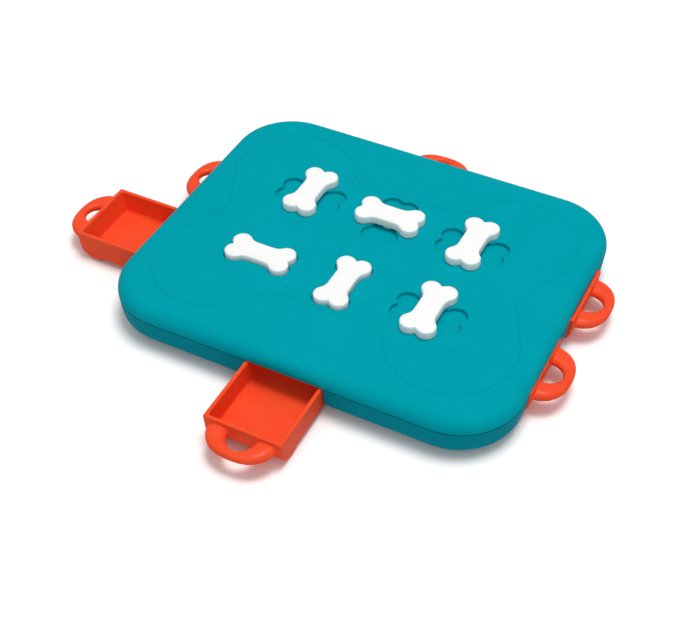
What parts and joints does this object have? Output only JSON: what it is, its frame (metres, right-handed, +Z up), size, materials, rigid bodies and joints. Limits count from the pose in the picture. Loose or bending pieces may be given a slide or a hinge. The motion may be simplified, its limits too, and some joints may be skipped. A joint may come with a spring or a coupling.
{
  "type": "dog puzzle feeder",
  "caption": "Flat dog puzzle feeder board with sliding food drawers around its edge, each locked by a bone-shaped knob that turns on the cover.",
  "frame": {"origin": "middle of the board in plan, on the plane that the rubber feet stand on", "axes": "+Z up, +X along the board's long side towards the two right drawers, -Y towards the front drawer"},
  "size_m": [0.4191, 0.3632, 0.0432],
  "materials": {
    "teal_top": "fine-grained matt, wood-filled plastic",
    "teal_side": "fine-grained matt, a little darker than the cover",
    "orange": "satin moulded plastic",
    "bone_white": "satin white moulded plastic",
    "key_plastic": "plain off-white moulded plastic, inside the board",
    "screw_steel": "zinc-plated",
    "foot_rubber": "matt"
  },
  "bodies": {
    "board": {"top_cover": "teal_top", "base": "teal_side", "cover_screws": "screw_steel", "feet": "foot_rubber"},
    "drawer_left_back_body": {"drawer_left_back": "orange"},
    "drawer_left_front_body": {"drawer_left_front": "orange"},
    "drawer_front_body": {"drawer_front": "orange"},
    "drawer_back_body": {"drawer_back": "orange"},
    "drawer_right_back_body": {"drawer_right_back": "orange"},
    "drawer_right_front_body": {"drawer_right_front": "orange"},
    "bone_back_left_body": {"bone_back_left": "bone_white", "key_back_left": "key_plastic", "key_screw_back_left": "screw_steel"},
    "bone_back_middle_body": {"bone_back_middle": "bone_white", "key_back_middle": "key_plastic", "key_screw_back_middle": "screw_steel"},
    "bone_back_right_body": {"bone_back_right": "bone_white", "key_back_right": "key_plastic", "key_screw_back_right": "screw_steel"},
    "bone_front_left_body": {"bone_front_left": "bone_white", "key_front_left": "key_plastic", "key_screw_front_left": "screw_steel"},
    "bone_front_middle_body": {"bone_front_middle": "bone_white", "key_front_middle": "key_plastic", "key_screw_front_middle": "screw_steel"},
    "bone_front_right_body": {"bone_front_right": "bone_white", "key_front_right": "key_plastic", "key_screw_front_right": "screw_steel"}
  },
  "joints": [
    {"name": "slide_left_back", "type": "slide", "parent": "board", "child": "drawer_left_back_body", "axis": [-1, 0, 0], "range_m": [0, 0.0595]},
    {"name": "slide_left_front", "type": "slide", "parent": "board", "child": "drawer_left_front_body", "axis": [-1, 0, 0], "range_m": [-0.0564, 0.0031]},
    {"name": "slide_front", "type": "slide", "parent": "board", "child": "drawer_front_body", "axis": [0, -1, 0], "range_m": [-0.0558, 0.0037]},
    {"name": "slide_back", "type": "slide", "parent": "board", "child": "drawer_back_body", "axis": [0, 1, 0], "range_m": [-0.0026, 0.0569]},
    {"name": "slide_right_back", "type": "slide", "parent": "board", "child": "drawer_right_back_body", "axis": [1, 0, 0], "range_m": [-0.0019, 0.0576]},
    {"name": "slide_right_front", "type": "slide", "parent": "board", "child": "drawer_right_front_body", "axis": [1, 0, 0], "range_m": [0, 0.0595]},
    {"name": "turn_back_left", "type": "hinge", "parent": "board", "child": "bone_back_left_body", "pos_m": [-0.0693, 0.0403, 0.0362], "axis": [0, 0, 1], "range_deg": [-90, 90]},
    {"name": "turn_back_middle", "type": "hinge", "parent": "board", "child": "bone_back_middle_body", "pos_m": [0, 0.0403, 0.0362], "axis": [0, 0, 1], "range_deg": [-90, 90]},
    {"name": "turn_back_right", "type": "hinge", "parent": "board", "child": "bone_back_right_body", "pos_m": [0.0693, 0.0403, 0.0362], "axis": [0, 0, 1], "range_deg": [-90, 90]},
    {"name": "lift_front_left", "type": "slide", "parent": "board", "child": "bone_front_left_body", "axis": [0, 0, 1], "range_m": [0, 0.0033]},
    {"name": "lift_front_middle", "type": "slide", "parent": "board", "child": "bone_front_middle_body", "axis": [0, 0, 1], "range_m": [0, 0.0033]},
    {"name": "turn_front_right", "type": "hinge", "parent": "board", "child": "bone_front_right_body", "pos_m": [0.0693, -0.0403, 0.0362], "axis": [0, 0, 1], "range_deg": [-90, 90]}
  ]
}
